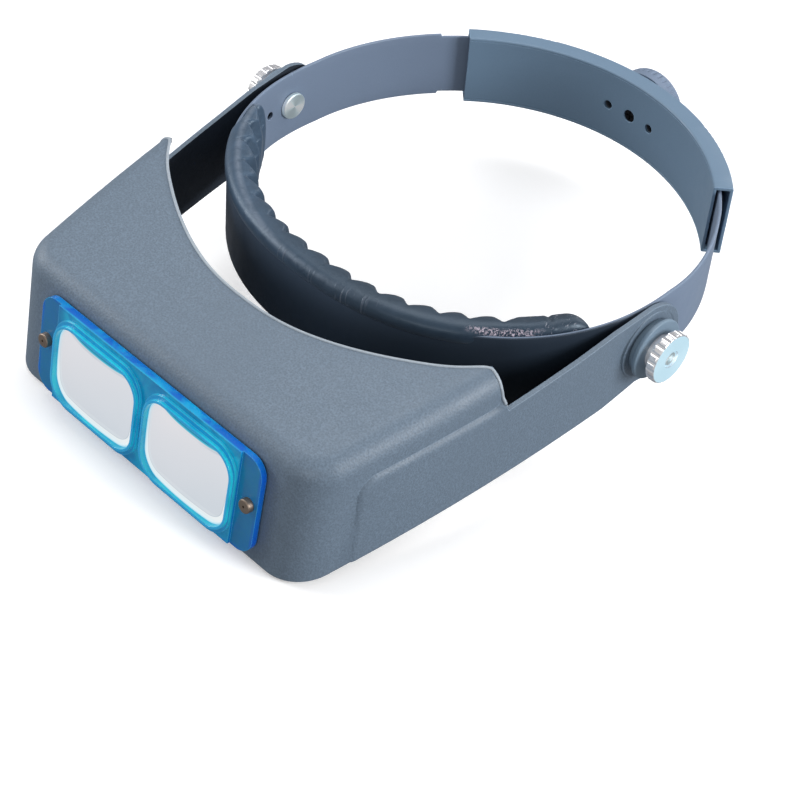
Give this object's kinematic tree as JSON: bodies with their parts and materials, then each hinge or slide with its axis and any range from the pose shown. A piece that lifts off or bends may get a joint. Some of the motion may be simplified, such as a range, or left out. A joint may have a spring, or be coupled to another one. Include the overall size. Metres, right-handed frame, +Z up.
{
  "type": "head visor magnifier",
  "caption": "Headband with padded brow, size knob at the back, and a tilting hood that carries a clip-on plate of magnifying lenses.",
  "frame": {"origin": "centre of the head ring at half the band's height", "axes": "+Z up out of the head ring, wearer faces -Y with the lens plate in front, size knob at +Y, +X through one temple bolt"},
  "size_m": [0.2004, 0.2551, 0.0548],
  "materials": {
    "band_plastic": "satin moulded, blue-grey",
    "leatherette": "slate leatherette with a soft sheen",
    "foam": "open-cell foam",
    "bolt_steel": "turned, zinc plated",
    "washer_plastic": "plain nylon",
    "housing_plastic": "satin moulded, blue-grey",
    "rivet_plastic": "plain nylon",
    "knob_plastic": "satin moulded, blue-grey",
    "pinion_plastic": "plain acetal",
    "spring_steel": "spring steel",
    "hood_plastic": "fine pebble grain, blue-grey",
    "socket_rubber": "soft moulded",
    "disc_plastic": "satin moulded, blue-grey",
    "blue_acrylic": "translucent blue acrylic",
    "lens_clear": "polished optical acrylic",
    "stud_bronze": "bronze-plated steel",
    "nickel": "bright nickel, knurled"
  },
  "bodies": {
    "headband": {"front_band": "band_plastic", "sweatband_cover": "leatherette", "sweatband_foam": "foam", "pivot_bolt_left": "bolt_steel", "pivot_bolt_right": "bolt_steel", "friction_washers": "washer_plastic"},
    "left_strap": {"left_strap": "band_plastic"},
    "right_strap": {"right_strap": "band_plastic"},
    "rear_housing": {"rear_housing": "housing_plastic", "rear_cover": "housing_plastic", "guide_rivets": "rivet_plastic", "knob_bush": "washer_plastic", "knob_spring_washer": "spring_steel"},
    "size_knob": {"size_knob": "knob_plastic", "knob_pinion": "pinion_plastic", "knob_screw": "bolt_steel"},
    "visor": {"visor_shell": "hood_plastic", "stud_sockets": "socket_rubber", "clamp_disc_left": "disc_plastic", "clamp_disc_right": "disc_plastic"},
    "lens_plate": {"lens_frame": "blue_acrylic", "left_lens": "lens_clear", "right_lens": "lens_clear", "lens_studs": "stud_bronze"},
    "thumb_nut_left": {"thumb_nut_left": "nickel"},
    "thumb_nut_right": {"thumb_nut_right": "nickel"}
  },
  "joints": [
    {"name": "band_adjust", "type": "slide", "parent": "headband", "child": "rear_housing", "axis": [0, -1, 0], "range_m": [-0.008, 0.008]},
    {"name": "left_strap_flex", "type": "hinge", "parent": "headband", "child": "left_strap", "pos_m": [-0.086, 0, 0], "axis": [0, 0, 1], "range_deg": [-5.7, 5.7]},
    {"name": "right_strap_flex", "type": "hinge", "parent": "headband", "child": "right_strap", "pos_m": [0.086, 0, 0], "axis": [0, 0, 1], "range_deg": [-5.7, 5.7]},
    {"name": "knob_turn", "type": "hinge", "parent": "rear_housing", "child": "size_knob", "pos_m": [0, 0.09, 0], "axis": [0, 1, 0], "range_deg": [-95, 95]},
    {"name": "visor_tilt", "type": "hinge", "parent": "headband", "child": "visor", "pos_m": [0, -0.013, 0], "axis": [-1, 0, 0], "range_deg": [-10, 75]},
    {"name": "plate_release", "type": "slide", "parent": "visor", "child": "lens_plate", "axis": [0, -0.9906, 0.1368], "range_m": [0, 0.03]},
    {"name": "thumb_nut_left_turn", "type": "hinge", "parent": "headband", "child": "thumb_nut_left", "pos_m": [-0.096, -0.013, 0], "axis": [-1, 0, 0], "range_deg": [-45, 360]},
    {"name": "thumb_nut_right_turn", "type": "hinge", "parent": "headband", "child": "thumb_nut_right", "pos_m": [0.096, -0.013, 0], "axis": [1, 0, 0], "range_deg": [-360, 45]}
  ],
  "couplings": [
    {"joint": "left_strap_flex", "follows": "band_adjust", "rad_per_m": -11.655},
    {"joint": "right_strap_flex", "follows": "band_adjust", "rad_per_m": 11.793},
    {"joint": "knob_turn", "follows": "band_adjust", "rad_per_m": 200}
  ]
}
